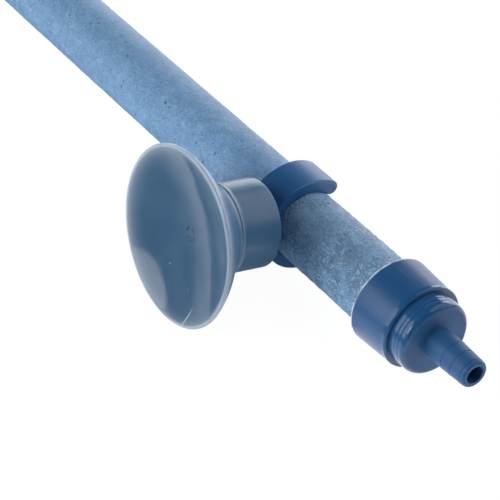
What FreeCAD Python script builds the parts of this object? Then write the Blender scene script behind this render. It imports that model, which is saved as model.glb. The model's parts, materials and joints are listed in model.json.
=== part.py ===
"""Bubble wall tube for an aquarium, lying at rest on its clips and suction cups.

A porous tube with a push-on cap at each end. The inlet cap carries the hose nozzle. Two C-clips
snap round the tube, and each holds a soft suction cup by a mushroom stud.

All sizes are in millimetres. While it is built, the tube lies along X with its axis on the X axis,
x = 0 is the inlet cap's open rim, the nozzle points along +X and the suction cups towards -Y.
At the end the whole part is set down with the middle of its box at x = y = 0 and its underside at
z = 0.
"""

import FreeCAD
import Part
import os
from math import acos, asin, atan2, cos, degrees, hypot, radians, sin, sqrt

from FreeCAD import Vector

# Porous tube
tube_radius = 7.0
tube_bore_radius = 3.75
tube_length = 278.0
tube_end_chamfer = 0.3

# Caps: a sleeve over the tube's end, then a narrower step with fine grooves and a flat face
cap_fit_clearance = 0.05
cap_socket_depth = 7.85
cap_socket_lead = 0.3
cap_rim_wall = 1.6
cap_draft = 0.41
cap_rim_round = 0.18
cap_shoulder_wall = 1.6
cap_bead_width = 1.0
cap_bead_height = 0.07
cap_bead_round = 0.4
cap_step_length = 4.05
cap_step_wall = 1.4
cap_step_draft = 0.06
cap_groove_count = 2
cap_groove_start = 1.4
cap_groove_pitch = 0.87
cap_groove_width = 0.24
cap_groove_depth = 0.07
cap_chamber_radius = 5.93
cap_face_wall = 1.43
cap_face_round = 1.1

# Hose nozzle on the inlet cap
nozzle_root_radius = 2.95
nozzle_root_length = 4.75
nozzle_root_fillet = 0.15
nozzle_barb_count = 3
nozzle_barb_pitch = 2.45
nozzle_barb_depth = 0.03
nozzle_barb_rise = 0.35
nozzle_barb_taper = 0.08
nozzle_barb_step = 0.11
nozzle_tip_length = 1.0
nozzle_tip_round = 0.5
nozzle_bore_radius = 1.7
nozzle_mouth_chamfer = 0.1

# C-clips
clip_distance = 29.9
clip_width = 7.8
clip_fit_clearance = 0.05
clip_back_thickness = 1.8
clip_growth = 0.7
clip_tip_angle = 119.5
clip_edge_round = 0.25
clip_seat_radius = 3.6
clip_seat_height = 0.1
stud_neck_radius = 2.5
stud_neck_length = 4.0
stud_head_radius = 3.4
stud_head_land = 0.7
stud_head_length = 3.6
stud_tip_radius = 2.0
stud_tip_round = 0.6

# Suction cups, measured along their own axis from the stalk's end
stud_clearance = 0.1
stalk_radius = 8.45
stalk_length = 8.5
stalk_end_round = 0.5
ridge_height = 0.5
ridge_width = 0.45
flare_start_step = 0.05
flare_start_angle = 22.0
flare_end_angle = 36.0
flare_start_pull = 3.0
flare_end_pull = 5.0
cup_length = 17.9
cup_radius = 17.05
lip_round = 0.35
lip_land = 0.4
dish_depth = 3.45

# Worked out from the sizes above
socket_radius = tube_radius + cap_fit_clearance
rim_radius = socket_radius + cap_rim_wall
sleeve_front_radius = rim_radius - cap_draft
sleeve_length = cap_socket_depth + cap_shoulder_wall
step_radius = cap_chamber_radius + cap_step_wall
face_x = sleeve_length + cap_step_length
far_rim_x = -(tube_length - 2 * cap_socket_depth)
clip_inner_radius = tube_radius + clip_fit_clearance
clip_outer_radius = clip_inner_radius + clip_back_thickness + clip_growth
seat_height = clip_inner_radius + clip_back_thickness + clip_seat_height
shoulder_height = seat_height + stud_neck_length
mouth_height = seat_height + cup_length
lip_centre_height = mouth_height - lip_round
lip_centre_radius = cup_radius - lip_round


class Outline:
    """A closed outline of (along, out) points: along the turning axis, and out from it."""

    def __init__(self, axis, along, out):
        self.axis = axis
        self.start = self.here = (along, out)
        self.edges = []

    def spot(self, point):
        along, out = point
        if self.axis == "X":
            return Vector(along, 0, out)
        return Vector(out, 0, along)

    def line(self, along, out):
        if hypot(along - self.here[0], out - self.here[1]) > 1e-6:
            edge = Part.LineSegment(self.spot(self.here), self.spot((along, out)))
            self.edges.append(edge.toShape())
        self.here = (along, out)

    def arc(self, centre, radius, start, end):
        """Go straight to a round stretch and along it, with its angles in degrees from the axis."""
        points = [
            (centre[0] + radius * cos(radians(a)), centre[1] + radius * sin(radians(a)))
            for a in (start, (start + end) / 2, end)
        ]
        self.line(*points[0])
        self.edges.append(Part.Arc(*[self.spot(p) for p in points]).toShape())
        self.here = points[2]

    def curve(self, *points):
        """A smooth curve whose ends point at the handles between them."""
        bezier = Part.BezierCurve()
        bezier.setPoles([self.spot(p) for p in (self.here, *points)])
        self.edges.append(bezier.toShape())
        self.here = points[-1]

    def turned(self):
        self.line(*self.start)
        direction = Vector(1, 0, 0) if self.axis == "X" else Vector(0, 0, 1)
        face = Part.Face(Part.Wire(self.edges))
        return Part.makeSolid(face.revolve(Vector(0, 0, 0), direction, 360))


def make_porous_tube():
    outline = Outline("X", 0, tube_bore_radius)
    outline.line(0, tube_radius - tube_end_chamfer)
    outline.line(tube_end_chamfer, tube_radius)
    outline.line(tube_length - tube_end_chamfer, tube_radius)
    outline.line(tube_length, tube_radius - tube_end_chamfer)
    outline.line(tube_length, tube_bore_radius)
    tube = outline.turned()
    tube.translate(Vector(cap_socket_depth - tube_length, 0, 0))
    return tube


def make_cap_body():
    """The sleeve and the step that both caps share, closed at its face, open rim at x = 0."""
    bead_start = sleeve_length - cap_bead_width
    bead_radius = sleeve_front_radius + cap_bead_height
    face_round_start = face_x - cap_face_round
    outline = Outline("X", face_x - cap_face_wall, 0)
    outline.line(face_x - cap_face_wall, cap_chamber_radius)
    outline.line(cap_socket_depth, cap_chamber_radius)
    outline.line(cap_socket_depth, socket_radius)
    outline.line(cap_socket_lead, socket_radius)
    outline.line(0, socket_radius + cap_socket_lead)
    outline.arc((cap_rim_round, rim_radius - cap_rim_round), cap_rim_round, 180, 90)
    outline.line(bead_start, sleeve_front_radius)
    outline.line(bead_start + cap_bead_height, bead_radius)
    outline.arc((sleeve_length - cap_bead_round, bead_radius - cap_bead_round), cap_bead_round, 90, 0)
    outline.line(sleeve_length, step_radius)
    land_radius = step_radius
    for i in range(cap_groove_count):
        groove_x = sleeve_length + cap_groove_start + i * cap_groove_pitch
        outline.line(groove_x - cap_groove_width / 2, land_radius)
        outline.line(groove_x, land_radius - cap_groove_depth)
        land_radius -= cap_step_draft / cap_groove_count
        outline.line(groove_x + cap_groove_width / 2, land_radius)
    outline.arc((face_round_start, land_radius - cap_face_round), cap_face_round, 90, 0)
    outline.line(face_x, 0)
    return outline.turned()


def make_nozzle():
    """The hose nozzle as a solid plug that starts inside the cap's face wall."""
    root_end = face_x + nozzle_root_length
    outline = Outline("X", face_x - cap_face_wall / 2, 0)
    outline.line(face_x - cap_face_wall / 2, nozzle_root_radius + nozzle_root_fillet)
    outline.line(face_x, nozzle_root_radius + nozzle_root_fillet)
    fillet_centre = (face_x + nozzle_root_fillet, nozzle_root_radius + nozzle_root_fillet)
    outline.arc(fillet_centre, nozzle_root_fillet, 180, 270)
    outline.line(root_end, nozzle_root_radius)
    for i in range(nozzle_barb_count):
        barb_x = root_end + i * nozzle_barb_pitch
        crest = nozzle_root_radius - nozzle_barb_depth - i * nozzle_barb_step
        outline.line(barb_x, crest - nozzle_barb_depth)
        outline.line(barb_x + nozzle_barb_rise, crest)
        if i < nozzle_barb_count - 1:
            outline.line(barb_x + nozzle_barb_pitch, crest - nozzle_barb_taper)
    tip_x = barb_x + nozzle_tip_length
    tip_radius = crest - nozzle_barb_taper / 2
    outline.arc((tip_x - nozzle_tip_round, tip_radius - nozzle_tip_round), nozzle_tip_round, 80, 0)
    outline.line(tip_x, 0)
    return outline.turned(), tip_x


def make_inlet_cap():
    nozzle, tip_x = make_nozzle()
    bore = Outline("X", cap_socket_depth, 0)
    bore.line(cap_socket_depth, nozzle_bore_radius)
    bore.line(tip_x - nozzle_mouth_chamfer, nozzle_bore_radius)
    bore.line(tip_x + nozzle_mouth_chamfer, nozzle_bore_radius + 2 * nozzle_mouth_chamfer)
    bore.line(tip_x + nozzle_mouth_chamfer, 0)
    return make_cap_body().fuse(nozzle).cut(bore.turned()).removeSplitter()


def make_end_cap():
    """The closed cap, turned round and pushed on to the tube's other end."""
    cap = make_cap_body()
    cap.rotate(Vector(0, 0, 0), Vector(0, 0, 1), 180)
    cap.translate(Vector(far_rim_x, 0, 0))
    return cap


def stud_outline(clearance):
    """The mushroom stud from the clip's seat out, or with a clearance the socket that takes it."""
    neck = stud_neck_radius + clearance
    head = stud_head_radius + clearance
    shoulder = shoulder_height - clearance
    land_end = shoulder_height + stud_head_land + clearance
    tip = shoulder_height + stud_head_length + clearance
    tip_centre = (tip - stud_tip_round, stud_tip_radius + clearance - stud_tip_round)
    outline = Outline("Z", seat_height, 0)
    outline.line(seat_height, neck)
    outline.line(shoulder, neck)
    outline.line(shoulder, head)
    outline.line(land_end, head)
    outline.arc(tip_centre, stud_tip_round, 65, 0)
    outline.line(tip, 0)
    return outline


def clip_band():
    """The C-shaped band round the tube, with a round outside that sits off centre, so that the
    arms thicken from the back to their rounded tips. The back faces +Z and the gap -Z."""
    angle = radians(clip_tip_angle)
    inner, outer, offset = clip_inner_radius, clip_outer_radius, clip_growth
    # The radius of the round tip that touches both the inside and the outside of the band
    tip = (outer**2 - inner**2 - offset**2 - 2 * offset * inner * cos(angle)) / (
        2 * (inner + outer + offset * cos(angle))
    )
    start_x = Vector(-clip_width / 2, 0, 0)
    outer_centre = Vector(0, 0, -offset)
    corners = {}
    for side in (1, -1):
        out = Vector(0, side * sin(angle), cos(angle))
        centre = out * (inner + tip)
        away = (centre - outer_centre).normalize()
        beyond = Vector(0, side * cos(angle), -sin(angle))
        corners[side] = (out * inner, centre + beyond * tip, outer_centre + away * outer)
    top_outer = outer_centre + Vector(0, 0, outer)
    top_inner = Vector(0, 0, inner)
    arcs = [
        Part.Arc(corners[1][2], top_outer, corners[-1][2]),
        Part.Arc(corners[-1][2], corners[-1][1], corners[-1][0]),
        Part.Arc(corners[-1][0], top_inner, corners[1][0]),
        Part.Arc(corners[1][0], corners[1][1], corners[1][2]),
    ]
    face = Part.Face(Part.Wire([a.toShape() for a in arcs]))
    face.translate(start_x)
    band = face.extrude(Vector(clip_width, 0, 0))
    rim = [
        e
        for e in band.Edges
        if e.BoundBox.XLength < 1e-6 and e.Curve.Radius > clip_inner_radius + 1e-3
    ]
    return band.makeFillet(clip_edge_round, rim)


def make_clip(middle_x):
    """The band, the round seat on its back and the stud, as one moulding."""
    seat_foot = clip_inner_radius + clip_back_thickness / 3
    seat = Part.makeCylinder(clip_seat_radius, seat_height - seat_foot, Vector(0, 0, seat_foot))
    clip = clip_band().fuse([seat, stud_outline(0).turned()]).removeSplitter()
    return facing_wall(clip, middle_x)


def make_suction_cup(middle_x):
    """The soft cup: stalk, thin parting ridge, flared skirt, rounded lip and shallow dish."""
    ridge_start = seat_height + stalk_length
    ridge_end = ridge_start + ridge_width
    ridge_radius = stalk_radius + ridge_height
    start_angle = radians(flare_start_angle)
    end_angle = radians(flare_end_angle)
    flare_start = (ridge_end, ridge_radius - flare_start_step)
    flare_end = (
        lip_centre_height - lip_round * sin(end_angle),
        lip_centre_radius + lip_round * cos(end_angle),
    )
    start_handle = (
        flare_start[0] + flare_start_pull * cos(start_angle),
        flare_start[1] + flare_start_pull * sin(start_angle),
    )
    end_handle = (
        flare_end[0] - flare_end_pull * cos(end_angle),
        flare_end[1] - flare_end_pull * sin(end_angle),
    )
    dish_edge = lip_centre_radius - lip_land
    dish_radius = (dish_edge**2 + dish_depth**2) / (2 * dish_depth)
    dish_centre = (mouth_height - dish_depth + dish_radius, 0)

    outline = Outline("Z", seat_height, 0)
    stalk_round_centre = (seat_height + stalk_end_round, stalk_radius - stalk_end_round)
    outline.arc(stalk_round_centre, stalk_end_round, 180, 90)
    outline.line(ridge_start, stalk_radius)
    outline.line(ridge_start, ridge_radius)
    outline.line(ridge_end, ridge_radius)
    outline.line(*flare_start)
    outline.curve(start_handle, end_handle, flare_end)
    outline.arc((lip_centre_height, lip_centre_radius), lip_round, 90 + flare_end_angle, 0)
    outline.line(mouth_height, dish_edge)
    outline.arc(dish_centre, dish_radius, 180 - degrees(asin(dish_edge / dish_radius)), 180)
    cup = outline.turned().cut(stud_outline(stud_clearance).turned())
    return facing_wall(cup, middle_x)


def rest_angle():
    """How far the cups point up when the clips' lower arms and the cups' lips both touch the floor."""
    reach_along = lip_centre_height + clip_growth
    reach = hypot(lip_centre_radius, reach_along)
    return acos((clip_outer_radius - lip_round) / reach) - atan2(reach_along, lip_centre_radius)


def facing_wall(shape, middle_x):
    """Turn a piece built towards +Z so that it points at the wall, and slide it along the tube."""
    shape.rotate(Vector(0, 0, 0), Vector(1, 0, 0), 90 - degrees(rest_angle()))
    shape.translate(Vector(middle_x, 0, 0))
    return shape


def set_down(pieces):
    """Move the whole part so that it stands on z = 0 with its box centred on x = y = 0."""
    box = Part.makeCompound(list(pieces.values())).optimalBoundingBox(False, False)
    shift = Vector(-box.Center.x, -box.Center.y, -box.ZMin)
    for piece in pieces.values():
        piece.translate(shift)
    return shift, box


def main():
    os.makedirs("parts", exist_ok=True)
    near_x = -clip_distance
    far_x = far_rim_x + clip_distance
    pieces = {
        "porous_tube": make_porous_tube(),
        "inlet_cap": make_inlet_cap(),
        "end_cap": make_end_cap(),
        "clip_inlet_end": make_clip(near_x),
        "clip_closed_end": make_clip(far_x),
        "suction_cup_inlet_end": make_suction_cup(near_x),
        "suction_cup_closed_end": make_suction_cup(far_x),
    }
    shift, box = set_down(pieces)
    for name, shape in pieces.items():
        shape.exportStep(f"parts/{name}.step")
        print(name, "valid" if shape.isValid() else "NOT VALID", len(shape.Solids), round(shape.Volume, 2))
    print("length, depth and height", [round(v, 3) for v in (box.XLength, box.YLength, box.ZLength)])
    print("tube axis and inlet rim at", [round(v, 4) for v in shift])
    print("cups point up by", round(degrees(rest_angle()), 4), "degrees")


main()
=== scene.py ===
"""Looks of an aquarium bubble wall tube: a porous blue tube, its two moulded caps, and two C-clips
with soft suction cups, on a plain white floor.

Everything is in metres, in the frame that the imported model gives: +X along the tube towards the hose
nozzle, -Y towards the suction cups, +Z up, and the floor at z = 0.
"""

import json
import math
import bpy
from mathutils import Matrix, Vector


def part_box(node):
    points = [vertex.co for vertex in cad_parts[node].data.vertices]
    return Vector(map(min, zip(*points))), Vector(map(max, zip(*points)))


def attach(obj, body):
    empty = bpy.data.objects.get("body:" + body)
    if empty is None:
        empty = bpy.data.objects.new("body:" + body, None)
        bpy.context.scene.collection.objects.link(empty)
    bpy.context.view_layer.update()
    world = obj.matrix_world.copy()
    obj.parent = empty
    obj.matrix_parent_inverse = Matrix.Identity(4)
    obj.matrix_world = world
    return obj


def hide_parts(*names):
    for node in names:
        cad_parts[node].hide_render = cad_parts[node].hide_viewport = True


bl_info = {
    "name": "Bubble wall tube",
    "version": (1, 0, 0),
    "blender": (4, 5, 0),
    "location": "View3D > Sidebar > Bubble tube",
    "description": "Builds the finishes and soft pieces of a porous aquarium bubble tube",
    "category": "Object",
}

import bmesh
import bpy
import numpy as np
from mathutils import Matrix, Vector, noise

MM = 0.001
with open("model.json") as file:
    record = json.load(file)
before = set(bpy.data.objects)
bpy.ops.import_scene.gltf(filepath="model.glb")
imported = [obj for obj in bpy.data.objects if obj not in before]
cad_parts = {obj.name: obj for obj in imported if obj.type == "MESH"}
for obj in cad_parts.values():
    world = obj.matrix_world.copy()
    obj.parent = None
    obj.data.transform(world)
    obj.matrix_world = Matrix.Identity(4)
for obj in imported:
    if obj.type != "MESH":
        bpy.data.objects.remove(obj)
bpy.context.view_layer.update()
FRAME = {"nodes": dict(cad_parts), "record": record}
MOUNTS = {m["name"]: m for m in FRAME["record"]["mounts"]}

TUBE_LOW, TUBE_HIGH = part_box("porous_tube")
TUBE_RADIUS = (TUBE_HIGH.y - TUBE_LOW.y) / 2
AXIS_Y = (TUBE_HIGH.y + TUBE_LOW.y) / 2
AXIS_Z = (TUBE_HIGH.z + TUBE_LOW.z) / 2
INLET_RIM_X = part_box("inlet_cap")[0].x
END_RIM_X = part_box("end_cap")[1].x
CUPS = {
    "suction_cup_inlet_end": "suction_face_inlet_end",
    "suction_cup_closed_end": "suction_face_closed_end",
}
CAPS = ("inlet_cap", "end_cap")
CLIPS = ("clip_inlet_end", "clip_closed_end")

# The tube's skin grows rougher, and is painted paler as painted light, between these two distances from the
# middle of its length
ENDS_FROM, ENDS_FULL = 0.086, 0.104

# The cup at rest: from its seat on the clip to its mouth, and out to the lip's edge
CUP_LENGTH = 17.9 * MM
CUP_RADIUS = 17.05 * MM


def colour_property(name, text, value):
    """A colour a user can pick, in linear light."""
    return bpy.props.FloatVectorProperty(
        name=name, description=text, default=value, size=3, min=0.0, max=1.0, subtype="COLOR"
    )


def size_property(name, text, millimetres):
    """A length a user can change, kept in metres."""
    return bpy.props.FloatProperty(
        name=name, description=text, default=millimetres * MM, min=0.0, precision=5,
        subtype="DISTANCE", unit="LENGTH",
    )


def share_property(name, text, value, top=1.0):
    """A plain factor, from 0 to top."""
    return bpy.props.FloatProperty(
        name=name, description=text, default=value, min=0.0, max=top, subtype="FACTOR"
    )


def power_property(name, watts):
    """A lamp's power."""
    return bpy.props.FloatProperty(
        name=name, description="Power of this lamp", default=watts, min=0.0, unit="POWER"
    )


def angle_property(name, text, degrees):
    """An angle, written in degrees and kept in radians."""
    return bpy.props.FloatProperty(
        name=name, description=text, default=math.radians(degrees), subtype="ANGLE"
    )


class PorousTubeSettings(bpy.types.PropertyGroup):
    pale: colour_property("Pale skin", "Colour of the dusty high grains", (0.284, 0.540, 0.812))
    deep: colour_property("Deep skin", "Colour of the surface between the grains", (0.102, 0.270, 0.520))
    # The pore colour is painted shade, put into the pores and the crinkles
    pore: colour_property("Pores", "Colour down in the pores", (0.020, 0.112, 0.350))
    grain: size_property("Grain", "Width of the sandy grains", 0.8)
    relief: size_property("Relief", "Height of the grains", 0.05)
    pit_depth: size_property("Pit depth", "Depth of the largest pores", 0.13)
    film: share_property("Dust film", "Strength of the satin film that pales the tube's sides", 0.8)
    film_roughness: share_property("Film roughness", "Roughness of that film", 0.6)
    around: bpy.props.IntProperty(
        name="Steps around", description="Mesh steps round the tube", default=124, min=16
    )
    step: size_property("Step along", "Mesh step along the tube", 0.352)


class MouldedSettings(bpy.types.PropertyGroup):
    colour: colour_property("Colour", "Colour of the moulded plastic", (0.016, 0.094, 0.245))
    thin: colour_property("Thin colour", "Colour of faint paler flow streaks", (0.024, 0.118, 0.285))
    # The rim line colour is a painted highlight on a sleeve's rim
    edge: colour_property("Rim line", "Colour of the scuffed line on a sleeve's rim", (0.72, 0.82, 0.92))
    # This colour is a painted highlight along the outer edge of each clip's front face
    highlit: colour_property("Worn edge", "Colour of the worn edge of a clip's front face", (0.10, 0.26, 0.48))
    speck: colour_property("Specks", "Colour of the dust specks", (0.25, 0.35, 0.48))
    shine: share_property("Shine", "Strength of the plastic's reflections", 0.36)
    roughness: share_property("Roughness", "Roughness of the clips and sleeves", 0.37)
    polish: share_property("Polish", "Roughness of the polished step", 0.13)
    matt: share_property("Matt", "Roughness of the face and the nozzle", 0.54)
    waves: size_property("Waves", "Width of the slow waves left by moulding", 3.2)
    wave_height: share_property("Wave strength", "Strength of the slow waves", 0.05)


class SuctionCupSettings(bpy.types.PropertyGroup):
    skin: colour_property("Vinyl", "Colour of the soft vinyl", (0.041, 0.118, 0.213))
    # The stalk colour is a paler copy of the dish's vinyl, as painted light
    stalk: colour_property("Stalk vinyl", "Colour of the thick stalk and skirt", (0.064, 0.180, 0.325))
    # The thin colour is a painted glow of light through the thin vinyl, and a painted highlight on the ridge
    thin: colour_property("Thin vinyl", "Paler colour where the vinyl is thin", (0.50, 0.60, 0.68))
    mark: colour_property("Gate mark", "Colour of the gate's mark in the dish", (0.008, 0.03, 0.06))
    speck: colour_property("Specks", "Colour of the dust specks", (0.30, 0.40, 0.50))
    dish_roughness: share_property("Dish roughness", "Roughness of the polished dish", 0.10)
    stalk_roughness: share_property("Stalk roughness", "Roughness of the satin stalk", 0.32)
    droop: size_property("Droop", "How far the soft lip hangs back at its foot", 0.45)
    flex: size_property("Flex", "How far the soft lip waves out of its plane", 0.10)


class StageSettings(bpy.types.PropertyGroup):
    azimuth: angle_property("Azimuth", "The camera's turn from looking along +Y", 57.62)
    elevation: angle_property("Elevation", "The camera's height above the horizon", 39.33)
    roll: angle_property("Roll", "The camera's small tilt about its view", -2.06)
    distance: size_property("Distance", "From the camera to the point it looks at", 376.1)
    focal: bpy.props.FloatProperty(
        name="Focal length", description="On a 36 mm wide sensor", default=143.1, unit="CAMERA"
    )
    look_at: bpy.props.FloatVectorProperty(
        name="Look at", description="The point in the middle of the view",
        default=(INLET_RIM_X - 0.03349, AXIS_Y - 0.00774, AXIS_Z - 0.00725),
        size=3, subtype="XYZ", unit="LENGTH",
    )
    left_lamp: power_property("Left umbrella", 1.9)
    right_lamp: power_property("Right wall", 2.4)
    top_lamp: power_property("Top fill", 5.4)
    side_lamp: power_property("Side lamp", 1.6)
    tent: share_property("Tent", "Brightness of the white tent at the horizon", 0.10, 2.0)


class BubbleTubeSettings(bpy.types.PropertyGroup):
    tube: bpy.props.PointerProperty(type=PorousTubeSettings, name="Tube", description="The porous tube")
    moulded: bpy.props.PointerProperty(type=MouldedSettings, name="Moulded", description="Caps and clips")
    cup: bpy.props.PointerProperty(type=SuctionCupSettings, name="Cups", description="The suction cups")
    stage: bpy.props.PointerProperty(type=StageSettings, name="Stage", description="Camera, floor and lamps")


def settings():
    """The values that a user can change."""
    return bpy.context.scene.bubble_tube


# Node helpers


def feed(tree, socket, value):
    """Link a socket to another one, or set its value."""
    if isinstance(value, bpy.types.NodeSocket):
        tree.links.new(value, socket)
    elif isinstance(value, tuple) and socket.type == "RGBA":
        socket.default_value = (*value, 1.0)
    else:
        socket.default_value = value


def add(tree, kind, inputs=None, **fields):
    """Add a node, set its fields, then set or link its inputs by name or number."""
    node = tree.nodes.new(kind)
    for key, value in fields.items():
        setattr(node, key, value)
    for key, value in (inputs or {}).items():
        feed(tree, node.inputs[key], value)
    return node


def set_inputs(tree, node, **inputs):
    """Set or link a node's inputs, named with underscores in place of spaces."""
    for label, value in inputs.items():
        feed(tree, node.inputs[label.replace("_", " ")], value)


def maths(tree, operation, *values):
    return add(tree, "ShaderNodeMath", dict(enumerate(values)), operation=operation).outputs[0]


def shifted(tree, base, value, middle, weight):
    """A base moved by how far a value is from its middle, times a weight."""
    return maths(tree, "MULTIPLY_ADD", maths(tree, "SUBTRACT", value, middle), weight, base)


def ramp(tree, factor, low, high, to_low=0.0, to_high=1.0):
    """Map low..high of a value to to_low..to_high with soft ends."""
    inputs = {"Value": factor, "From Min": low, "From Max": high, "To Min": to_low, "To Max": to_high}
    return add(tree, "ShaderNodeMapRange", inputs, interpolation_type="SMOOTHSTEP").outputs[0]


def blend_colours(tree, share, first, second):
    """The first colour with a share of the second in it."""
    node = add(tree, "ShaderNodeMix", data_type="RGBA")
    sockets = {socket.identifier: socket for socket in node.inputs}
    feed(tree, sockets["Factor_Float"], share)
    feed(tree, sockets["A_Color"], first)
    feed(tree, sockets["B_Color"], second)
    return next(socket for socket in node.outputs if socket.identifier == "Result_Color")


def noise_at(tree, place, width, detail=2.0, roughness=0.5, stretch=None):
    """Noise whose features are about width metres wide."""
    if stretch is not None:
        place = add(tree, "ShaderNodeVectorMath", {0: place, 1: stretch}, operation="MULTIPLY").outputs[0]
    inputs = {"Vector": place, "Scale": 1.0 / width, "Detail": detail, "Roughness": roughness}
    return add(tree, "ShaderNodeTexNoise", inputs).outputs["Fac"]


def shared_group(name, inputs, outputs):
    """A shader node group with named sockets, or the one that is already there."""
    group = bpy.data.node_groups.get(name)
    if group:
        return group, None, None
    group = bpy.data.node_groups.new(name, "ShaderNodeTree")
    for label, kind, value in inputs:
        socket = group.interface.new_socket(name=label, in_out="INPUT", socket_type=kind)
        if value is not None:
            socket.default_value = value
    for label, kind in outputs:
        group.interface.new_socket(name=label, in_out="OUTPUT", socket_type=kind)
    return group, group.nodes.new("NodeGroupInput").outputs, group.nodes.new("NodeGroupOutput").inputs


def moulding_skin_group():
    """Slow waves and a fine haze that any moulded surface has: a normal and a roughness."""
    group, given, out = shared_group(
        "Moulding skin",
        [
            ("Place", "NodeSocketVector", None),
            ("Wave Scale", "NodeSocketFloat", 300.0),
            ("Wave Strength", "NodeSocketFloat", 0.1),
            ("Roughness", "NodeSocketFloat", 0.25),
            ("Haze", "NodeSocketFloat", 0.08),
        ],
        [("Normal", "NodeSocketVector"), ("Roughness", "NodeSocketFloat")],
    )
    if given is None:
        return group
    waves = {"Vector": given["Place"], "Scale": given["Wave Scale"], "Detail": 1.0}
    slow = add(group, "ShaderNodeTexNoise", waves).outputs["Fac"]
    fine = noise_at(group, given["Place"], 0.0004)
    height = maths(group, "ADD", slow, maths(group, "MULTIPLY", fine, 0.02))
    relief = {"Strength": given["Wave Strength"], "Distance": 0.001, "Height": height}
    bump = add(group, "ShaderNodeBump", relief)
    group.links.new(bump.outputs[0], out["Normal"])
    patch = noise_at(group, given["Place"], 0.004, 3.0)
    spread = maths(group, "MULTIPLY", maths(group, "SUBTRACT", patch, 0.5), given["Haze"])
    group.links.new(maths(group, "ADD", given["Roughness"], spread), out["Roughness"])
    return group


def speck_group():
    """Sparse tiny dust specks: a mask that is 1 on a speck."""
    group, given, out = shared_group(
        "Dust specks",
        [
            ("Place", "NodeSocketVector", None),
            ("Spacing Scale", "NodeSocketFloat", 250.0),
            ("Size", "NodeSocketFloat", 0.06),
        ],
        [("Mask", "NodeSocketFloat")],
    )
    if given is None:
        return group
    spacing = {"Vector": given["Place"], "Scale": given["Spacing Scale"]}
    cells = add(group, "ShaderNodeTexVoronoi", spacing)
    chosen = add(group, "ShaderNodeSeparateColor", {0: cells.outputs["Color"]}).outputs[0]
    size = maths(group, "MULTIPLY", given["Size"], ramp(group, chosen, 0.6, 1.0))
    near = maths(group, "LESS_THAN", cells.outputs["Distance"], size)
    group.links.new(near, out["Mask"])
    return group


def use_group(tree, group, **inputs):
    """Place a group in a material with its own values, and give its outputs."""
    node = add(tree, "ShaderNodeGroup", node_tree=group)
    set_inputs(tree, node, **inputs)
    return node.outputs


def new_material(name):
    """An empty material: the material, its tree, its Principled BSDF and the object's coordinates."""
    material = bpy.data.materials.new(name)
    material.use_nodes = True
    tree = material.node_tree
    tree.nodes.clear()
    shader = tree.nodes.new("ShaderNodeBsdfPrincipled")
    output = tree.nodes.new("ShaderNodeOutputMaterial")
    tree.links.new(shader.outputs[0], output.inputs["Surface"])
    place = tree.nodes.new("ShaderNodeTexCoord").outputs["Object"]
    return material, tree, shader, place


def attribute_of(tree, name, output="Fac"):
    """A value that the mesh carries at its points."""
    return add(tree, "ShaderNodeAttribute", attribute_name=name).outputs[output]


def axes_of(tree, place):
    return add(tree, "ShaderNodeSeparateXYZ", {0: place}).outputs


# Materials


def crinkles(tree, place):
    """Fine crinkles where wavy noises cross their middle, faded in and out by a slower noise."""
    line_width = 0.070
    lines = []
    for width, stretch in ((0.00064, (1.0, 0.7, 0.7)), (0.00088, (0.6, 1.0, 1.0))):
        wave = maths(tree, "SUBTRACT", noise_at(tree, place, width, 1.5, 0.5, stretch), 0.5)
        lines.append(ramp(tree, maths(tree, "ABSOLUTE", wave), 0.0, line_width, 1.0, 0.0))
    shown = ramp(tree, noise_at(tree, place, 0.0022, 1.0), 0.30, 0.60, 0.45, 1.0)
    return maths(tree, "MULTIPLY", maths(tree, "MAXIMUM", *lines), shown)


def round_pores(tree, place):
    """Small round pores, each of its own size, in half of the cells of a pattern."""
    cells_per_metre, largest = 520.0, 0.2
    cells = add(tree, "ShaderNodeTexVoronoi", {"Vector": place, "Scale": cells_per_metre})
    chance = add(tree, "ShaderNodeSeparateColor", {0: cells.outputs["Color"]}).outputs[0]
    reach = ramp(tree, chance, 0.5, 1.0, 0.0, largest)
    return ramp(tree, maths(tree, "SUBTRACT", reach, cells.outputs["Distance"]), -0.02, 0.07)


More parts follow.
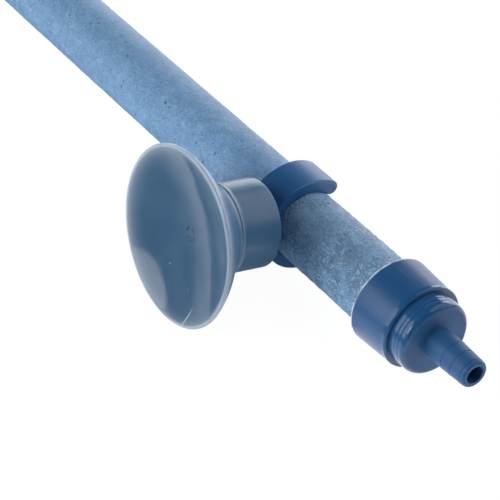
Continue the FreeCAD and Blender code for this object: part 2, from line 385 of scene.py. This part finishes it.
def porous_material():
    """Dusty sandy skin: pale on its heights and deep between them, with fine crinkles and small pores,
    which are darkened as painted shade. It is leathery near the tube's ends and painted paler there,
    which is painted light, and a satin film of dust pales its sides."""
    own = settings().tube
    pale, deep, dark = tuple(own.pale), tuple(own.deep), tuple(own.pore)
    material, tree, shader, place = new_material("Porous skin")
    calm = 0.45
    along = maths(tree, "ABSOLUTE", axes_of(tree, place)["X"])
    toward_ends = ramp(tree, along, ENDS_FROM, ENDS_FULL, calm, 1.0)
    sand = noise_at(tree, place, 0.00028, 2.0, 0.6)
    leather = noise_at(tree, place, 0.00075, 3.0, 0.62, (1.0, 0.75, 0.75))
    cloud = noise_at(tree, place, 0.006, 3.0, 0.55, (0.6, 1.0, 1.0))
    crease = maths(tree, "MULTIPLY", crinkles(tree, place), toward_ends)
    pore = maths(tree, "MAXIMUM", attribute_of(tree, "pore"), round_pores(tree, place))

    # How pale each place is, by its finer and coarser heights, and paler towards the tube's ends as painted
    # light
    level = shifted(tree, 0.5, sand, 0.5, 1.2)
    level = shifted(tree, level, leather, 0.5, maths(tree, "MULTIPLY", toward_ends, 0.6))
    level = shifted(tree, level, cloud, 0.5, 0.35)
    # Painted light: the skin is painted paler towards the tube's ends
    level = shifted(tree, level, toward_ends, calm, 0.78)
    level = shifted(tree, level, attribute_of(tree, "relief"), 0.5, 0.3)
    skin = blend_colours(tree, ramp(tree, level, 0.0, 1.0), deep, pale)
    # Painted shade: the crinkles and the pores are darkened towards the pore colour
    skin = blend_colours(tree, maths(tree, "MULTIPLY", crease, 0.38), skin, dark)
    skin = blend_colours(tree, maths(tree, "MULTIPLY", pore, 0.7), skin, dark)

    hide = maths(tree, "MULTIPLY", maths(tree, "MULTIPLY", leather, toward_ends), 1.2)
    relief = maths(tree, "MULTIPLY_ADD", sand, 0.35, hide)
    sunk = maths(tree, "MULTIPLY", maths(tree, "MAXIMUM", crease, pore), 1.3)
    relief = maths(tree, "SUBTRACT", relief, sunk)
    bump = add(tree, "ShaderNodeBump", {"Strength": 1.0, "Distance": 0.00027, "Height": relief})
    rough = maths(tree, "MULTIPLY_ADD", sand, 0.2, 0.62)
    set_inputs(tree, shader, Base_Color=skin, Roughness=rough, Normal=bump.outputs[0])
    set_inputs(tree, shader, Specular_IOR_Level=0.25)
    set_inputs(tree, shader, Coat_Weight=own.film, Coat_Roughness=own.film_roughness, Coat_IOR=1.6)
    return material


def sleeve_finish(tree, place, x, colour):
    """A cap's finish by its distance from the sleeve's open rim: a painted highlight on the rim, broken
    up by noise, the satin sleeve, the polished step, and the matt face and nozzle. Gives a colour and a
    roughness."""
    own = settings().moulded
    line_full, line_end = 0.28 * MM, 0.50 * MM
    sleeve_end, step_start = 8.2 * MM, 8.5 * MM
    step_end, face_start = 13.3 * MM, 13.5 * MM
    past_inlet_rim = maths(tree, "SUBTRACT", x, INLET_RIM_X)
    past_end_rim = maths(tree, "SUBTRACT", END_RIM_X, x)
    from_rim = maths(tree, "MAXIMUM", past_inlet_rim, past_end_rim)
    broken = ramp(tree, noise_at(tree, place, 0.0016), 0.35, 0.6, 0.35, 1.0)
    # Painted highlight: a pale broken line on the sleeve's rim
    line = maths(tree, "MULTIPLY", ramp(tree, from_rim, line_full, line_end, 1.0, 0.0), broken)
    step = ramp(tree, from_rim, sleeve_end, step_start, own.roughness, own.polish)
    beyond = ramp(tree, from_rim, step_end, face_start)
    roughness = maths(tree, "MULTIPLY_ADD", beyond, own.matt - own.polish, step)
    return blend_colours(tree, line, colour, tuple(own.edge)), roughness


def painted_clip_edge_highlight(tree, axes, colour):
    """A painted highlight along the outer edge of each clip's front face."""
    own = settings().moulded
    near, far, strength = 0.12 * MM, 0.34 * MM, 0.7
    highest = [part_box(node)[1] for node in CLIPS]
    fronts = [maths(tree, "ABSOLUTE", maths(tree, "SUBTRACT", axes["X"], high.x)) for high in highest]
    front = ramp(tree, maths(tree, "MINIMUM", *fronts), near, far, 1.0, 0.0)
    y = maths(tree, "SUBTRACT", axes["Y"], AXIS_Y)
    z = maths(tree, "SUBTRACT", axes["Z"], AXIS_Z)
    squares = [maths(tree, "MULTIPLY", v, v) for v in (y, z)]
    reach = maths(tree, "SQRT", maths(tree, "ADD", *squares))
    outer = highest[0].z - AXIS_Z
    # Painted highlight on the clip's front edge
    highlit = maths(tree, "MULTIPLY", front, ramp(tree, reach, outer - far, outer - near))
    return blend_colours(tree, maths(tree, "MULTIPLY", highlit, strength), colour, tuple(own.highlit))


def moulded_material(name, painted_light=1.0, sleeves=False):
    """Deep blue plastic with slow moulding waves, faint flow streaks and a few specks, finished as a
    cap where it has sleeves and else as a clip. Its colours are scaled by a factor, which makes a
    paler copy as painted light."""
    own = settings().moulded
    material, tree, shader, place = new_material(name)
    streak = noise_at(tree, place, 0.006, 3.0, 0.6, (0.35, 1.0, 1.0))
    # Painted light: a factor above 1 makes a paler copy of the plastic
    base = tuple(c * painted_light for c in own.colour)
    thin = tuple(c * painted_light for c in own.thin)
    colour = blend_colours(tree, ramp(tree, streak, 0.35, 0.75), base, thin)
    specks = use_group(tree, speck_group(), Place=place, Spacing_Scale=260.0, Size=0.045)["Mask"]
    colour = blend_colours(tree, specks, colour, tuple(own.speck))
    axes = axes_of(tree, place)
    if sleeves:
        colour, roughness = sleeve_finish(tree, place, axes["X"], colour)
    else:
        colour, roughness = painted_clip_edge_highlight(tree, axes, colour), own.roughness
    skin = use_group(
        tree, moulding_skin_group(), Place=place, Wave_Scale=1.0 / own.waves,
        Wave_Strength=own.wave_height, Roughness=roughness, Haze=0.08,
    )
    set_inputs(tree, shader, Base_Color=colour, Roughness=skin["Roughness"], Normal=skin["Normal"])
    set_inputs(tree, shader, Specular_IOR_Level=own.shine, Subsurface_Weight=0.10)
    set_inputs(tree, shader, Subsurface_Radius=(0.3, 0.6, 1.2), Subsurface_Scale=0.0008)
    return material


def dish_marks(tree, colour, thin):
    """The moulding gate's broken ring and dark wisps in the dish's middle, and a slanting pale line near
    its lip. Gives the colour and the thinness with the marks in them."""
    own = settings().cup
    ring_radius, ring_half, ring_fade = 1.25 * MM, 0.10 * MM, 0.26 * MM
    slant_start, slant_full, slant_half, slant_fade = 12.8 * MM, 15.0 * MM, 0.10 * MM, 0.28 * MM
    slant_turn, slant_rate = math.radians(63.0), 55.0
    local = attribute_of(tree, "dish_place", "Vector")
    spread = add(tree, "ShaderNodeVectorMath", {0: local}, operation="LENGTH").outputs["Value"]

    off_ring = maths(tree, "ABSOLUTE", maths(tree, "SUBTRACT", spread, ring_radius))
    broken = ramp(tree, noise_at(tree, local, 0.0012, 1.0), 0.46, 0.56)
    ring = maths(tree, "MULTIPLY", ramp(tree, off_ring, ring_half, ring_fade, 1.0, 0.0), broken)
    wisp = ramp(tree, noise_at(tree, local, 0.0011, 2.0, 0.6, (1.0, 0.45, 1.0)), 0.56, 0.66)
    wisp = maths(tree, "MULTIPLY", wisp, ramp(tree, spread, 0.5 * MM, 4.5 * MM, 1.0, 0.0))
    mark = maths(tree, "MAXIMUM", ring, maths(tree, "MULTIPLY", wisp, 0.6))
    colour = blend_colours(tree, maths(tree, "MULTIPLY", mark, 0.75), colour, tuple(own.mark))

    axes = axes_of(tree, local)
    turn = maths(tree, "ARCTAN2", axes["Y"], axes["X"])
    slant = maths(tree, "MULTIPLY_ADD", spread, slant_rate, slant_turn - slant_rate * slant_full)
    side = maths(tree, "MULTIPLY", maths(tree, "ABSOLUTE", maths(tree, "ADD", turn, slant)), spread)
    line = ramp(tree, side, slant_half, slant_fade, 1.0, 0.0)
    pale_slant = maths(tree, "MULTIPLY", line, ramp(tree, spread, slant_start, slant_full))
    return colour, maths(tree, "MAXIMUM", thin, maths(tree, "MULTIPLY", pale_slant, 0.9))


def vinyl_material(name, dish):
    """Soft translucent vinyl: thin places have a painted glow. The dish is polished and the stalk is satin.
    """
    own = settings().cup
    material, tree, shader, place = new_material(name)
    thin = attribute_of(tree, "thin")
    cloud = ramp(tree, noise_at(tree, place, 0.007), 0.3, 0.8, 0.0, 0.05)
    # Painted light: the stalk and skirt get a paler copy of the dish's vinyl
    colour = blend_colours(tree, cloud, tuple(own.skin if dish else own.stalk), tuple(own.thin))
    if dish:
        colour, thin = dish_marks(tree, colour, thin)
    # Painted glow and painted highlight: thin places and the ridge are painted paler
    colour = blend_colours(tree, thin, colour, tuple(own.thin))
    specks = use_group(tree, speck_group(), Place=place, Spacing_Scale=280.0, Size=0.05)["Mask"]
    colour = blend_colours(tree, specks, colour, tuple(own.speck))
    skin = use_group(
        tree, moulding_skin_group(), Place=place, Wave_Scale=130.0 if dish else 180.0,
        Wave_Strength=0.17 if dish else 0.10, Haze=0.05 if dish else 0.12,
        Roughness=own.dish_roughness if dish else own.stalk_roughness,
    )
    set_inputs(tree, shader, Base_Color=colour, Roughness=skin["Roughness"], Normal=skin["Normal"])
    set_inputs(tree, shader, IOR=1.52, Subsurface_Weight=0.45)
    set_inputs(tree, shader, Subsurface_Radius=(0.7, 1.1, 1.5), Subsurface_Scale=0.0015)
    return material


# Meshes


def mesh_object(name, points, faces, materials, face_materials=None):
    """A smooth-shaded mesh object in the row frame."""
    mesh = bpy.data.meshes.new(name)
    mesh.from_pydata([tuple(p) for p in points], [], faces)
    mesh.shade_smooth()
    for material in materials:
        mesh.materials.append(material)
    if face_materials is not None:
        mesh.polygons.foreach_set("material_index", face_materials)
    mesh.update()
    obj = bpy.data.objects.new(name, mesh)
    bpy.context.scene.collection.objects.link(obj)
    return obj


def point_values(obj, name, values):
    """Give each point of a mesh a value, which its material reads."""
    attribute = obj.data.attributes.new(name, "FLOAT", "POINT")
    attribute.data.foreach_set("value", np.asarray(values, np.float32))


def ring_faces(rings, around):
    """Quads that join each ring of around points to the next one."""
    faces = []
    for i in range(rings - 1):
        for j in range(around):
            k = (j + 1) % around
            faces.append((i * around + j, i * around + k, (i + 1) * around + k, (i + 1) * around + j))
    return faces


def tube_relief(x, y, z):
    """Height of the sandy skin at a point of the plain tube, with its grain and pore masks."""
    own = settings().tube
    lump_width, lump_height = 0.0075, 0.00003
    pit_spacing, pit_patch = 0.0034, 0.0052
    sunk, highest = 0.00002, 0.00006
    # Grains are a little longer round the tube than along it
    place = Vector((x, y * 0.75, z * 0.75))
    grain = noise.fractal(place / own.grain, 0.9, 2.1, 3)
    lump = noise.noise(place / lump_width)
    distances, _ = noise.voronoi(place / pit_spacing)
    pit_size = 0.04 + 0.11 * abs(noise.cell(place / pit_patch))
    pore = max(0.0, 1.0 - distances[0] / pit_size)
    toward_ends = min(1.0, max(0.0, (abs(x) - ENDS_FROM) / (ENDS_FULL - ENDS_FROM)))
    height = own.relief * grain * (0.9 + 1.3 * toward_ends) + lump_height * lump
    height -= own.pit_depth * pore**0.7 + sunk
    return min(height, highest), grain, pore


def build_porous_tube():
    """The tube with its sandy skin as real relief, its chamfered ends and its bore."""
    own = settings().tube
    around = own.around
    under_sleeve, chamfer, bore = 1.2 * MM, 0.3 * MM, 3.75 * MM
    first, last = END_RIM_X - under_sleeve, INLET_RIM_X + under_sleeve
    steps = round((last - first) / own.step)
    stations = [first + (last - first) * i / steps for i in range(steps + 1)]
    # Each ring: its place along the tube, its radius, and whether it is sandy
    rings = [
        (TUBE_LOW.x, bore, False),
        (TUBE_LOW.x, TUBE_RADIUS - chamfer, False),
        (TUBE_LOW.x + chamfer, TUBE_RADIUS, False),
    ]
    rings += [(x, TUBE_RADIUS, True) for x in stations]
    rings += [
        (TUBE_HIGH.x - chamfer, TUBE_RADIUS, False),
        (TUBE_HIGH.x, TUBE_RADIUS - chamfer, False),
        (TUBE_HIGH.x, bore, False),
    ]
    points, heights, pores = [], [], []
    for i, (x, radius, sandy) in enumerate(rings):
        # Every other ring is turned by half a step
        turn = math.pi / around * (i % 2)
        for j in range(around):
            angle = 2 * math.pi * j / around + turn
            y, z = math.cos(angle), math.sin(angle)
            height, grain, pore = 0.0, 0.0, 0.0
            if sandy:
                height, grain, pore = tube_relief(x, y * radius, z * radius)
            r = radius + height
            points.append((x, AXIS_Y + y * r, AXIS_Z + z * r))
            heights.append(0.5 + 0.5 * grain)
            pores.append(pore)
    faces = [tuple(reversed(f)) for f in ring_faces(len(rings), around)]
    # The bore joins the last ring back to the first
    base = (len(rings) - 1) * around
    faces += [(base + j, j, (j + 1) % around, base + (j + 1) % around) for j in range(around)]
    tube = mesh_object("sandy_tube", points, faces, [porous_material()])
    point_values(tube, "relief", heights)
    point_values(tube, "pore", pores)
    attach(tube, "root")
    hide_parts("porous_tube")
    return tube


def arc_points(centre, radius, start, end, count):
    """Points of a round stretch, as (along, out), between two angles in degrees from the axis."""
    angles = np.radians(np.linspace(start, end, count))
    return [(centre[0] + radius * math.cos(a), centre[1] + radius * math.sin(a)) for a in angles]


def bezier_points(ends, count):
    """Points of a Bezier curve, which has four ends and handles."""
    a, b, c, d = (np.array(p) for p in ends)
    return [
        tuple((1 - t) ** 3 * a + 3 * t * (1 - t) ** 2 * b + 3 * t * t * (1 - t) * c + t**3 * d)
        for t in np.linspace(0, 1, count)
    ]


def pulled(point, length, angle):
    """A curve's handle: a point moved by a length at an angle from the axis."""
    return (point[0] + length * math.cos(angle), point[1] + length * math.sin(angle))


def cup_outline(mouth):
    """The cup's outline from its socket round the stalk and the lip to the dish, as (along, out,
    part), where along is from the tube's axis and part is socket, stalk, skirt, lip or dish."""
    seat = mouth - CUP_LENGTH
    stalk, stalk_length, stalk_round = 8.45 * MM, 8.5 * MM, 0.5 * MM
    ridge, ridge_width, edge, step = 8.95 * MM, 0.45 * MM, 0.09 * MM, 0.05 * MM
    lip_round, lip_out, land = 0.35 * MM, 16.7 * MM, 0.4 * MM
    dish_depth, dish_edge = 3.45 * MM, 16.3 * MM
    start_angle, end_angle = math.radians(22.0), math.radians(36.0)
    start_pull, end_pull = 3.0 * MM, 5.0 * MM
    ridge_start, ridge_end = seat + stalk_length, seat + stalk_length + ridge_width
    lip_centre = (mouth - lip_round, lip_out)
    flare_start = (ridge_end, ridge - edge - step)
    flare_end = pulled(lip_centre, lip_round, math.pi / 2 + end_angle)
    start_handle = pulled(flare_start, start_pull, start_angle)
    end_handle = pulled(flare_end, -end_pull, end_angle)
    dish_radius = (dish_edge**2 + dish_depth**2) / (2 * dish_depth)
    dish_centre = (mouth - dish_depth + dish_radius, 0.0)
    dish_angle = 180 - math.degrees(math.asin(dish_edge / dish_radius))

    # The socket fits round the clip's stud: a narrow neck, then the wider head and its round tip
    neck, head, head_start, head_land, tip, tip_round = (v * MM for v in (2.6, 3.5, 3.9, 4.8, 7.7, 0.6))
    tip_centre = (seat + tip - tip_round, 1.5 * MM)
    outline = [(seat + tip, 0.0, "socket")]
    outline += [(*p, "socket") for p in arc_points(tip_centre, tip_round, 0, 65, 5)]
    outline += [(seat + head_land, head, "socket"), (seat + head_start, head, "socket")]
    outline += [(seat + head_start, neck, "socket"), (seat + 0.2 * MM, neck, "socket")]
    outline += [(seat, neck + 0.2 * MM, "stalk"), (seat, 5.0 * MM, "stalk")]
    stalk_corner = (seat + stalk_round, stalk - stalk_round)
    outline += [(*p, "stalk") for p in arc_points(stalk_corner, stalk_round, 180, 90, 9)]
    outline += [(seat + t * MM, stalk, "stalk") for t in (2.0, 4.0, 6.0, 7.6)]
    outline += [(ridge_start - edge, stalk, "stalk"), (ridge_start, stalk + edge, "stalk")]
    outline += [(*p, "skirt") for p in arc_points((ridge_start + edge, ridge - edge), edge, 180, 90, 4)]
    outline += [(*p, "skirt") for p in arc_points((ridge_end - edge, ridge - edge), edge, 90, 0, 4)]
    flare = (flare_start, start_handle, end_handle, flare_end)
    outline += [(*p, "skirt") for p in bezier_points(flare, 40)]
    outline += [(*p, "lip") for p in arc_points(lip_centre, lip_round, 126, 0, 10)[1:]]
    outline += [(mouth, dish_edge + land / 2, "lip")]
    outline += [(*p, "dish") for p in arc_points(dish_centre, dish_radius, dish_angle, 180, 48)]
    return outline


def painted_glow(radius, angle, part):
    """How pale the vinyl is painted at a point of the soft cup, as a painted glow of light through the
    thin vinyl: most on the lip, fading inwards from it and widest at its -X side. The ridge gets a
    painted highlight."""
    ridge_end, ridge_highlight = 9.2 * MM, 0.25
    skirt_share, skirt_fade = 0.6, 0.95 * MM
    side = math.cos(angle - 0.25)
    if part == "lip":
        return 0.74 - 0.16 * side
    # Painted highlight on the ridge at the stalk's end
    if part == "skirt" and radius < ridge_end:
        return ridge_highlight
    if part not in ("skirt", "dish"):
        return 0.0
    if part == "skirt":
        share, fade = skirt_share, skirt_fade
    else:
        share, fade = 0.74 - 0.56 * side, (0.95 - 0.10 * side) * MM
    return min(1.0, share * math.exp((radius - CUP_RADIUS) / fade))


def build_suction_cup(node, mount, materials, seed):
    """One soft cup, with its thin lip drooping and waving a little out of its plane."""
    own = settings().cup
    around = 192
    stiff_radius, soft_width = 9 * MM, 8 * MM
    out = Vector(MOUNTS[mount]["axis"]).normalized()
    face = Vector(MOUNTS[mount]["pos_m"])
    along_x = Vector((1.0, 0.0, 0.0))
    up = along_x.cross(out)
    if up.z < 0:
        up = -up
    centre = Vector((face.x, AXIS_Y, AXIS_Z))
    low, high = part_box(node)
    outline = cup_outline((face - centre).length)
    points, thin, places = [], [], []
    for along, radius, part in outline:
        soft = part in ("skirt", "lip", "dish")
        lean = radius / (stiff_radius + soft_width) if soft else 0.0
        wavy = max(0.0, (radius - stiff_radius) / soft_width) ** 1.5 if soft else 0.0
        for j in range(around):
            angle = 2 * math.pi * j / around
            wave = 0.7 * math.cos(2 * angle + seed) + 0.3 * math.cos(3 * angle + 2 * seed) - 1.0
            bend = lean * own.droop * (math.sin(angle) - 0.2) + wavy * own.flex * wave
            across, over = math.cos(angle) * radius, math.sin(angle) * radius
            p = centre + out * (along + bend) + along_x * across + up * over
            p.z = min(max(p.z, low.z), high.z)
            points.append(p)
            thin.append(painted_glow(radius, angle, part))
            places.append((across, over, 0.0))
    faces = [tuple(reversed(f)) for f in ring_faces(len(outline), around)]
    # The first material is the stalk's, and the second one is the dish's and the lip's
    kinds = []
    for _, _, part in outline[:-1]:
        kinds += [1 if part in ("dish", "lip") else 0] * around
    cup = mesh_object(node.replace("suction_cup", "soft_cup"), points, faces, materials, kinds)
    point_values(cup, "thin", thin)
    attribute = cup.data.attributes.new("dish_place", "FLOAT_VECTOR", "POINT")
    attribute.data.foreach_set("vector", np.asarray(places, np.float32).ravel())
    weld(cup)
    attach(cup, "root")
    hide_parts(node)
    return cup


def weld(obj):
    """Join the points that lie on the turning axis into one."""
    touching = 1e-7
    mesh = bmesh.new()
    mesh.from_mesh(obj.data)
    bmesh.ops.remove_doubles(mesh, verts=mesh.verts, dist=touching)
    bmesh.ops.dissolve_degenerate(mesh, edges=mesh.edges, dist=touching)
    bmesh.ops.recalc_face_normals(mesh, faces=mesh.faces)
    mesh.to_mesh(obj.data)
    mesh.free()


def finish_node(node, material):
    """Give a carried-over node its own material."""
    mesh = FRAME["nodes"][node].data
    mesh.materials.clear()
    mesh.materials.append(material)


# Stage

# Each lamp: its name, its place from the middle of what is lit, its size, and the setting of its power
LAMPS = (
    ("Left umbrella", (-0.240, -0.493, 0.244), (0.547,), "left_lamp"),
    ("Right wall", (-0.377, 0.456, 0.080), (1.00, 0.24), "right_lamp"),
    ("Top fill", (0.207, 0.636, 0.602), (1.30,), "top_lamp"),
    ("Side lamp", (0.0, -0.636, 0.397), (0.30,), "side_lamp"),
)


def area_lamp(name, place, target, size, power):
    """A soft lamp, which lights and reflects but isn't in the picture. One size makes a disc."""
    data = bpy.data.lights.new(name, "AREA")
    data.shape = "DISK" if len(size) == 1 else "RECTANGLE"
    data.size = size[0]
    data.size_y = size[-1]
    data.energy = power
    data.color = (1.0, 0.97, 1.0)
    lamp = bpy.data.objects.new(name, data)
    lamp.location = place
    lamp.rotation_euler = (Vector(target) - Vector(place)).to_track_quat("-Z", "Y").to_euler()
    lamp.visible_camera = False
    bpy.context.scene.collection.objects.link(lamp)
    return lamp


def floor_gloss(tree):
    """How bright the floor is in a reflection: bright near the object, with painted shadows in front of
    each cup's foot and in a strip under the tube, dark far out in front, and brightest behind and
    beside the object."""
    dark, bright = 0.15, 0.9
    foot_back, foot_y = 0.020, -0.010
    foot_size = (1 / 0.028, 1 / 0.0155, 1.0)
    place = add(tree, "ShaderNodeTexCoord").outputs["Object"]
    axes = axes_of(tree, place)
    x, y = axes["X"], axes["Y"]
    share = ramp(tree, y, -0.043, -0.027, dark, bright)
    # Painted shadow in front of each cup's foot
    for mount in CUPS.values():
        foot = (MOUNTS[mount]["pos_m"][0] - foot_back, foot_y, 0.0)
        away = add(tree, "ShaderNodeVectorMath", {0: place, 1: foot}, operation="SUBTRACT").outputs[0]
        away = add(tree, "ShaderNodeVectorMath", {0: away, 1: foot_size}, operation="MULTIPLY").outputs[0]
        reach = add(tree, "ShaderNodeVectorMath", {0: away}, operation="LENGTH").outputs["Value"]
        share = maths(tree, "MINIMUM", share, ramp(tree, reach, 0.92, 1.04, dark, bright))
    # Painted shadow in a strip under the tube
    from_strip = maths(tree, "ABSOLUTE", maths(tree, "SUBTRACT", y, 0.004))
    beside_strip = ramp(tree, from_strip, 0.007, 0.011, dark, 1.5)
    past_strip = ramp(tree, x, 0.119, 0.123)
    share = maths(tree, "MINIMUM", share, maths(tree, "ADD", beside_strip, past_strip))
    behind = ramp(tree, y, 0.018, 0.040)
    beside = ramp(tree, x, 0.104, 0.114)
    open_floor = maths(tree, "MAXIMUM", behind, beside)
    return maths(tree, "MULTIPLY", share, maths(tree, "MULTIPLY_ADD", open_floor, 0.9, 1.0))


def glow(tree, colour, strength, shade=None):
    """A glow, added to a matt surface where a shade is given for one."""
    light = add(tree, "ShaderNodeEmission", {"Color": colour, "Strength": strength}).outputs[0]
    if shade is None:
        return light
    matt = add(tree, "ShaderNodeBsdfDiffuse", {"Color": (shade, shade, shade)}).outputs[0]
    return add(tree, "ShaderNodeAddShader", {0: matt, 1: light}).outputs[0]


def build_floor():
    """A white floor. The camera sees it white with a faint shadow, the object gets soft light from it,
    and reflections see it by floor_gloss."""
    half = 2.5
    corners = [(-half, -half, 0), (half, -half, 0), (half, half, 0), (-half, half, 0)]
    white = (1.0, 1.0, 1.0)
    material = bpy.data.materials.new("White floor")
    material.use_nodes = True
    tree = material.node_tree
    tree.nodes.clear()
    path = tree.nodes.new("ShaderNodeLightPath").outputs
    direct = maths(tree, "MAXIMUM", path["Is Camera Ray"], path["Is Transmission Ray"])
    lighting = glow(tree, white, 0.26, 0.85)
    seen = glow(tree, white, 0.96, 0.10)
    plain = add(tree, "ShaderNodeMixShader", {0: direct, 1: lighting, 2: seen}).outputs[0]
    gloss = glow(tree, (0.98, 0.97, 1.0), floor_gloss(tree))
    mixed = add(tree, "ShaderNodeMixShader", {0: path["Is Glossy Ray"], 1: plain, 2: gloss})
    output = tree.nodes.new("ShaderNodeOutputMaterial")
    tree.links.new(mixed.outputs[0], output.inputs["Surface"])
    floor = mesh_object("floor", corners, [(0, 1, 2, 3)], [material])


def build_world():
    """A dim tent of light, dimmer still overhead, and plain white where the camera sees it."""
    own = settings().stage
    world = bpy.data.worlds.new("White tent")
    bpy.context.scene.world = world
    world.use_nodes = True
    tree = world.node_tree
    tree.nodes.clear()
    direction = add(tree, "ShaderNodeTexCoord").outputs["Generated"]
    sides = ramp(tree, axes_of(tree, direction)["Z"], 0.0, 0.75, own.tent, own.tent * 0.5)
    tent = add(tree, "ShaderNodeBackground", {"Color": (0.97, 0.98, 1.0), "Strength": sides})
    white = add(tree, "ShaderNodeBackground", {"Color": (1.0, 1.0, 1.0), "Strength": 1.0})
    camera = tree.nodes.new("ShaderNodeLightPath").outputs["Is Camera Ray"]
    mixed = add(tree, "ShaderNodeMixShader", {0: camera, 1: tent.outputs[0], 2: white.outputs[0]})
    output = tree.nodes.new("ShaderNodeOutputWorld")
    tree.links.new(mixed.outputs[0], output.inputs["Surface"])


def build_camera():
    """The camera, at the photograph's viewing angle."""
    own = settings().stage
    azimuth, elevation = own.azimuth, own.elevation
    flat = math.cos(elevation)
    back = Vector((math.sin(azimuth) * flat, -math.cos(azimuth) * flat, math.sin(elevation)))
    right = Vector((math.cos(azimuth), math.sin(azimuth), 0.0))
    up = back.cross(right)
    turn = Matrix((right, up, back)).transposed().to_4x4() @ Matrix.Rotation(own.roll, 4, "Z")
    data = bpy.data.cameras.new("Camera")
    data.sensor_width = 36.0
    data.lens = own.focal
    data.clip_start, data.clip_end = 0.01, 20.0
    camera = bpy.data.objects.new("Camera", data)
    camera.matrix_world = Matrix.Translation(Vector(own.look_at) + back * own.distance) @ turn
    bpy.context.scene.collection.objects.link(camera)
    bpy.context.scene.camera = camera


# Operators


class BUBBLETUBE_OT_tube(bpy.types.Operator):
    """Build the porous tube with its sandy relief"""

    bl_idname = "bubble_tube.tube"
    bl_label = "Porous tube"

    def execute(self, context):
        build_porous_tube()
        return {"FINISHED"}


class BUBBLETUBE_OT_caps(bpy.types.Operator):
    """Finish the inlet cap and the closed end cap in moulded plastic"""

    bl_idname = "bubble_tube.caps"
    bl_label = "Caps"

    def execute(self, context):
        material = moulded_material("Cap plastic", sleeves=True)
        for node in CAPS:
            finish_node(node, material)
        return {"FINISHED"}


class BUBBLETUBE_OT_clips(bpy.types.Operator):
    """Finish the two C-clips in moulded plastic"""

    bl_idname = "bubble_tube.clips"
    bl_label = "Clips"

    def execute(self, context):
        # Painted light: the clips get a paler copy of the caps' plastic
        material = moulded_material("Clip plastic", 1.25)
        for node in CLIPS:
            finish_node(node, material)
        return {"FINISHED"}


class BUBBLETUBE_OT_cups(bpy.types.Operator):
    """Build the two soft suction cups"""

    bl_idname = "bubble_tube.cups"
    bl_label = "Suction cups"

    def execute(self, context):
        materials = [vinyl_material("Vinyl stalk", False), vinyl_material("Vinyl dish", True)]
        for i, (node, mount) in enumerate(CUPS.items()):
            build_suction_cup(node, mount, materials, 0.7 + 1.9 * i)
        return {"FINISHED"}


class BUBBLETUBE_OT_stage(bpy.types.Operator):
    """Set up the floor, the white tent, the lamps and the camera"""

    bl_idname = "bubble_tube.stage"
    bl_label = "Stage"

    def execute(self, context):
        own = settings().stage
        build_floor()
        build_world()
        build_camera()
        middle = Vector((INLET_RIM_X - 0.03, AXIS_Y, AXIS_Z))
        for name, offset, size, power in LAMPS:
            area_lamp(name, middle + Vector(offset), middle, size, getattr(own, power))
        bpy.context.scene.view_settings.view_transform = "Standard"
        return {"FINISHED"}


class BUBBLETUBE_PT_panel(bpy.types.Panel):
    """The pieces of the bubble tube, each with its settings"""

    bl_idname = "BUBBLETUBE_PT_panel"
    bl_label = "Bubble wall tube"
    bl_space_type = "VIEW_3D"
    bl_region_type = "UI"
    bl_category = "Bubble tube"

    def draw(self, context):
        own = context.scene.bubble_tube
        for group, operators in (
            (own.tube, ("bubble_tube.tube",)),
            (own.moulded, ("bubble_tube.caps", "bubble_tube.clips")),
            (own.cup, ("bubble_tube.cups",)),
            (own.stage, ("bubble_tube.stage",)),
        ):
            box = self.layout.box()
            for name in group.__annotations__:
                box.prop(group, name)
            for name in operators:
                box.operator(name)


CLASSES = (
    PorousTubeSettings,
    MouldedSettings,
    SuctionCupSettings,
    StageSettings,
    BubbleTubeSettings,
    BUBBLETUBE_OT_tube,
    BUBBLETUBE_OT_caps,
    BUBBLETUBE_OT_clips,
    BUBBLETUBE_OT_cups,
    BUBBLETUBE_OT_stage,
    BUBBLETUBE_PT_panel,
)


def register():
    for item in CLASSES:
        bpy.utils.register_class(item)
    bpy.types.Scene.bubble_tube = bpy.props.PointerProperty(type=BubbleTubeSettings)


def unregister():
    del bpy.types.Scene.bubble_tube
    for item in reversed(CLASSES):
        bpy.utils.unregister_class(item)


def main():
    register()
    bpy.ops.bubble_tube.stage()
    bpy.ops.bubble_tube.tube()
    bpy.ops.bubble_tube.caps()
    bpy.ops.bubble_tube.clips()
    bpy.ops.bubble_tube.cups()


if __name__ == "__main__":
    main()
